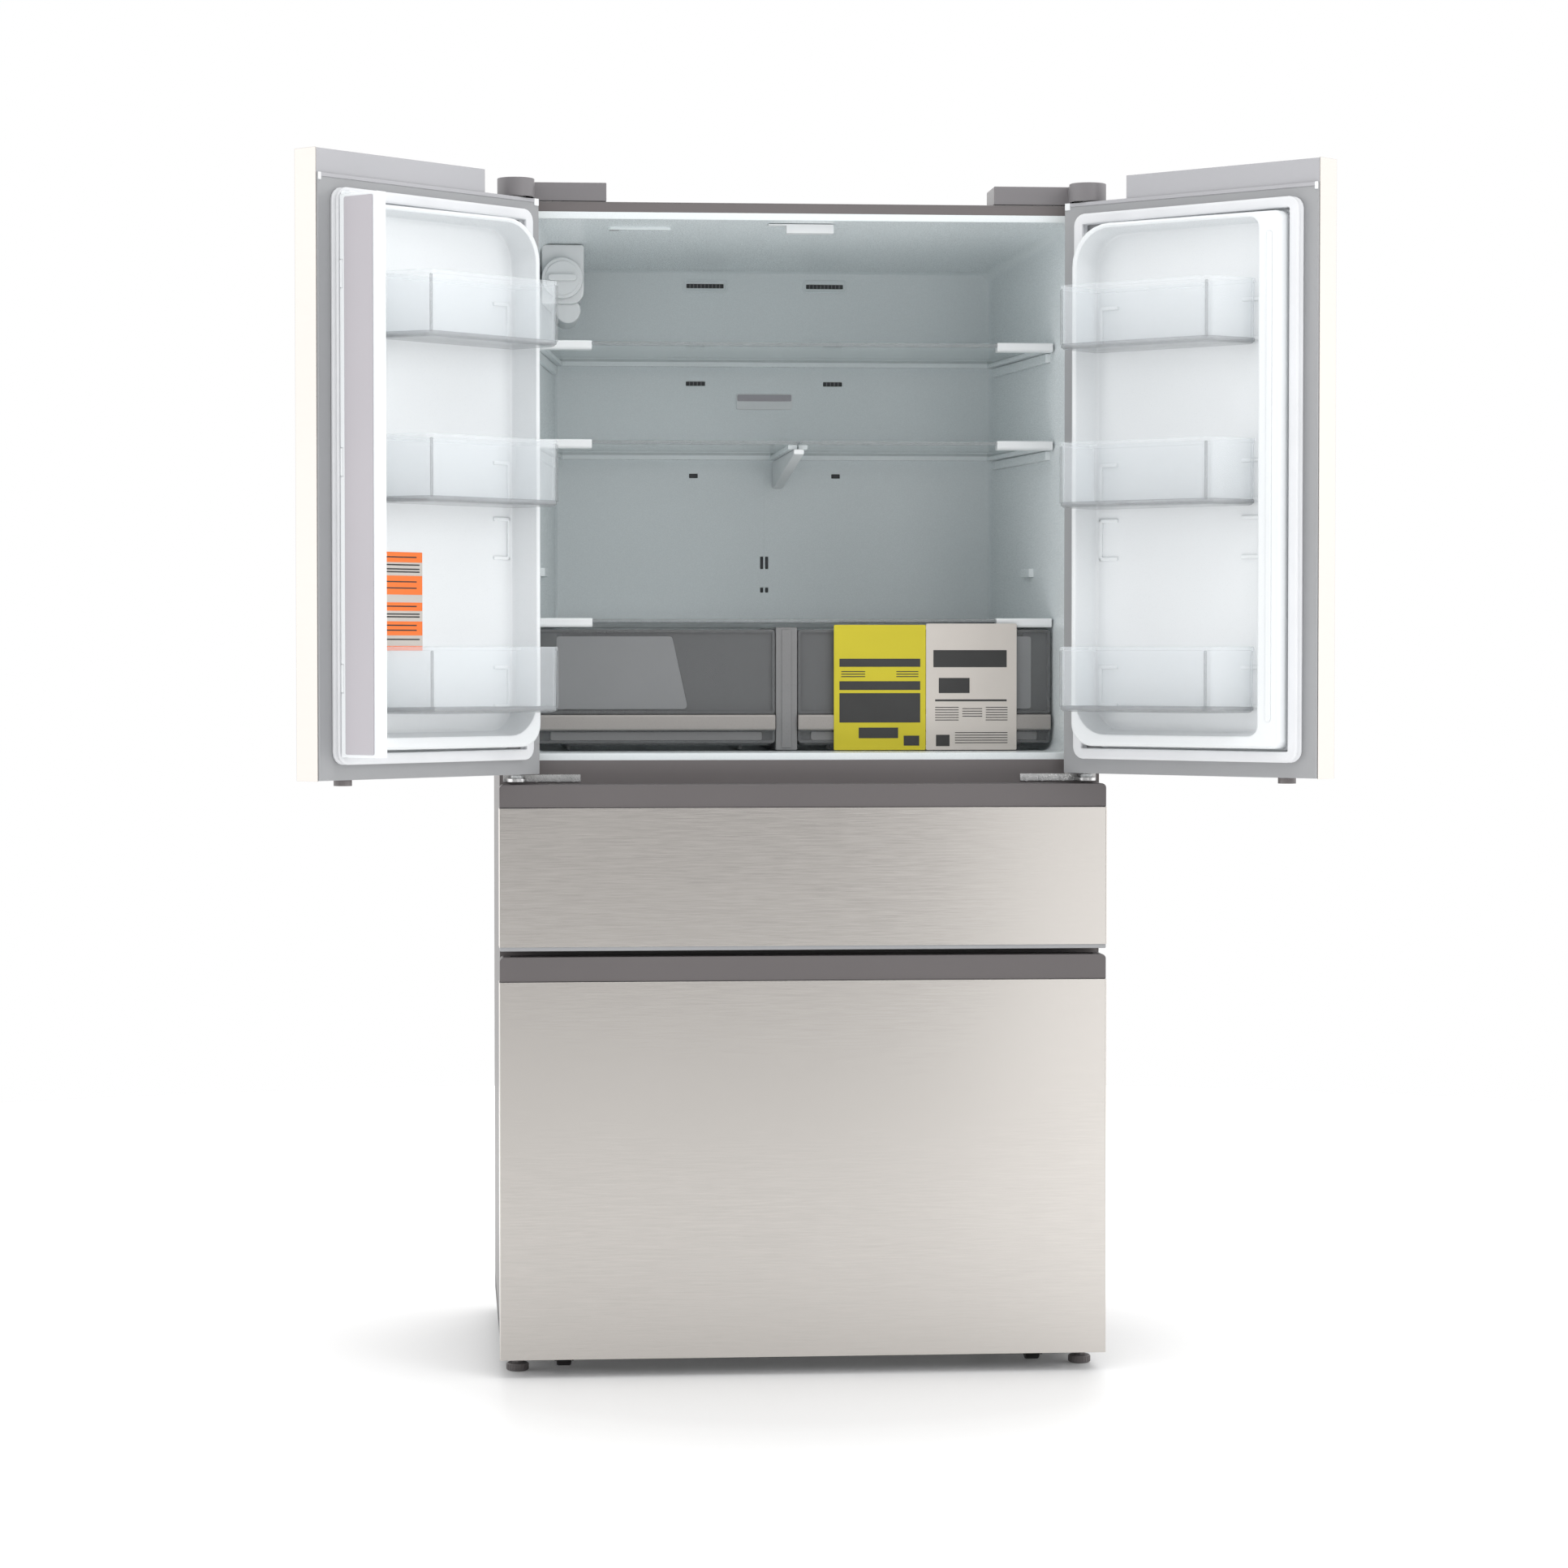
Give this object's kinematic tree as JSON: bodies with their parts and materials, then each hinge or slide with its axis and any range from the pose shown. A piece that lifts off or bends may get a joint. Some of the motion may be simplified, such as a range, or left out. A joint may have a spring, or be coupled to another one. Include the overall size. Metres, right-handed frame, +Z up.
{
  "type": "french door refrigerator",
  "caption": "Free-standing refrigerator with french doors over a wide middle drawer and a freezer drawer, with recessed grips, glass shelves, crispers and door bins.",
  "frame": {"origin": "on the floor, at the middle of the floor space that the refrigerator takes with both doors standing open", "axes": "+X to the right seen from the front, +Y towards the back, +Z up"},
  "size_m": [1.478, 1.0351, 1.778],
  "materials": {
    "stainless": "brushed, warm grey, fingerprint resistant",
    "dark_trim": "satin dark grey",
    "grey_case": "satin grey paint",
    "galvanised_steel": "galvanised",
    "foam": "rigid foam",
    "white_liner": "moulded white, soft gloss",
    "gasket_rubber": "soft vinyl",
    "clear_plastic": "clear moulded plastic",
    "smoky_plastic": "smoky clear plastic",
    "shelf_glass": "tempered glass",
    "mullion_metal": "satin grey",
    "white_bracket": "white powder coat",
    "zinc_slides": "zinc plated",
    "black_enamel": "black enamel",
    "aluminium_fins": "mill",
    "black_plastic": "black moulded"
  },
  "bodies": {
    "cabinet": {"case_shell": "grey_case", "rear_panel": "galvanised_steel", "front_flange": "dark_trim", "case_foam": "foam", "fridge_liner": "white_liner", "mid_liner": "white_liner", "freezer_liner": "white_liner", "base_frame": "galvanised_steel", "machine_cover": "galvanised_steel", "compressor": "black_enamel", "condenser": "aluminium_fins", "water_valve": "black_plastic", "evaporator_cover": "white_liner", "evaporator": "aluminium_fins", "air_panel": "white_liner", "shelf_top": "shelf_glass", "shelf_left": "shelf_glass", "shelf_right": "shelf_glass", "shelf_bracket": "white_bracket", "crisper_cover": "white_liner", "filter_housing": "white_liner", "mullion_guide": "white_liner", "top_hinges": "galvanised_steel", "hinge_covers": "dark_trim", "middle_hinges": "galvanised_steel", "drawer_rails": "zinc_slides"},
    "left_door": {"left_door_skin": "stainless", "left_door_pan": "dark_trim", "left_door_gasket": "gasket_rubber", "left_door_liner": "white_liner", "left_door_bins": "clear_plastic"},
    "right_door": {"right_door_skin": "stainless", "right_door_pan": "dark_trim", "right_door_gasket": "gasket_rubber", "right_door_liner": "white_liner", "right_door_bins": "clear_plastic"},
    "mullion": {"mullion_body": "white_liner", "mullion_plate": "mullion_metal"},
    "middle_drawer": {"mid_front": "stainless", "mid_core": "dark_trim", "mid_strip": "dark_trim", "mid_gasket": "gasket_rubber", "mid_slides": "zinc_slides", "mid_bin": "clear_plastic"},
    "freezer_drawer": {"lower_front": "stainless", "lower_core": "dark_trim", "lower_strip": "dark_trim", "lower_gasket": "gasket_rubber", "lower_slides": "zinc_slides", "lower_bin": "clear_plastic"},
    "freezer_tray": {"freezer_tray": "clear_plastic"},
    "crisper_left": {"crisper_left": "smoky_plastic"},
    "crisper_right": {"crisper_right": "smoky_plastic"},
    "filter_cap": {"filter_cap": "white_liner"},
    "condenser_fan": {"condenser_fan": "black_plastic"},
    "evaporator_fan": {"evaporator_fan": "black_plastic"},
    "front_rollers": {"front_rollers": "black_plastic"},
    "rear_rollers": {"rear_rollers": "black_plastic"},
    "levelling_foot_left": {"levelling_foot_left": "black_plastic"},
    "levelling_foot_right": {"levelling_foot_right": "black_plastic"}
  },
  "joints": [
    {"name": "left_door_swing", "type": "hinge", "parent": "cabinet", "child": "left_door", "pos_m": [-0.425, -0.14993, 0.9], "axis": [0, 0, -1], "range_deg": [-134.5, 0]},
    {"name": "right_door_swing", "type": "hinge", "parent": "cabinet", "child": "right_door", "pos_m": [0.425, -0.14993, 0.9], "axis": [0, 0, 1], "range_deg": [-134.5, 0]},
    {"name": "mullion_fold", "type": "hinge", "parent": "left_door", "child": "mullion", "pos_m": [-0.6726, -0.46181, 1.3], "axis": [0, 0, 1], "range_deg": [-90, 0]},
    {"name": "middle_drawer_slide", "type": "slide", "parent": "cabinet", "child": "middle_drawer", "axis": [0, -1, 0], "range_m": [0, 0.38]},
    {"name": "freezer_drawer_slide", "type": "slide", "parent": "cabinet", "child": "freezer_drawer", "axis": [0, -1, 0], "range_m": [0, 0.38]},
    {"name": "freezer_tray_slide", "type": "slide", "parent": "freezer_drawer", "child": "freezer_tray", "axis": [0, 1, 0], "range_m": [0, 0.12]},
    {"name": "crisper_left_slide", "type": "slide", "parent": "cabinet", "child": "crisper_left", "axis": [0, -1, 0], "range_m": [0, 0.21]},
    {"name": "crisper_right_slide", "type": "slide", "parent": "cabinet", "child": "crisper_right", "axis": [0, -1, 0], "range_m": [0, 0.21]},
    {"name": "filter_cap_twist", "type": "hinge", "parent": "cabinet", "child": "filter_cap", "pos_m": [-0.34899, 0.12407, 1.651], "axis": [0, -1, 0], "range_deg": [0, 90]},
    {"name": "condenser_fan_spin", "type": "hinge", "parent": "cabinet", "child": "condenser_fan", "pos_m": [-0.09, 0.40907, 0.15], "axis": [1, 0, 0], "continuous": true},
    {"name": "evaporator_fan_spin", "type": "hinge", "parent": "cabinet", "child": "evaporator_fan", "pos_m": [0, 0.40807, 0.54], "axis": [0, 1, 0], "continuous": true},
    {"name": "front_roller_roll", "type": "hinge", "parent": "cabinet", "child": "front_rollers", "pos_m": [0, -0.07193, 0.019], "axis": [1, 0, 0], "continuous": true},
    {"name": "rear_roller_roll", "type": "hinge", "parent": "cabinet", "child": "rear_rollers", "pos_m": [0, 0.45407, 0.02], "axis": [1, 0, 0], "continuous": true},
    {"name": "levelling_foot_left_turn", "type": "hinge", "parent": "cabinet", "child": "levelling_foot_left", "pos_m": [-0.425, -0.09393, 0.03], "axis": [0, 0, 1], "continuous": true},
    {"name": "levelling_foot_right_turn", "type": "hinge", "parent": "cabinet", "child": "levelling_foot_right", "pos_m": [0.425, -0.09393, 0.03], "axis": [0, 0, 1], "continuous": true}
  ]
}
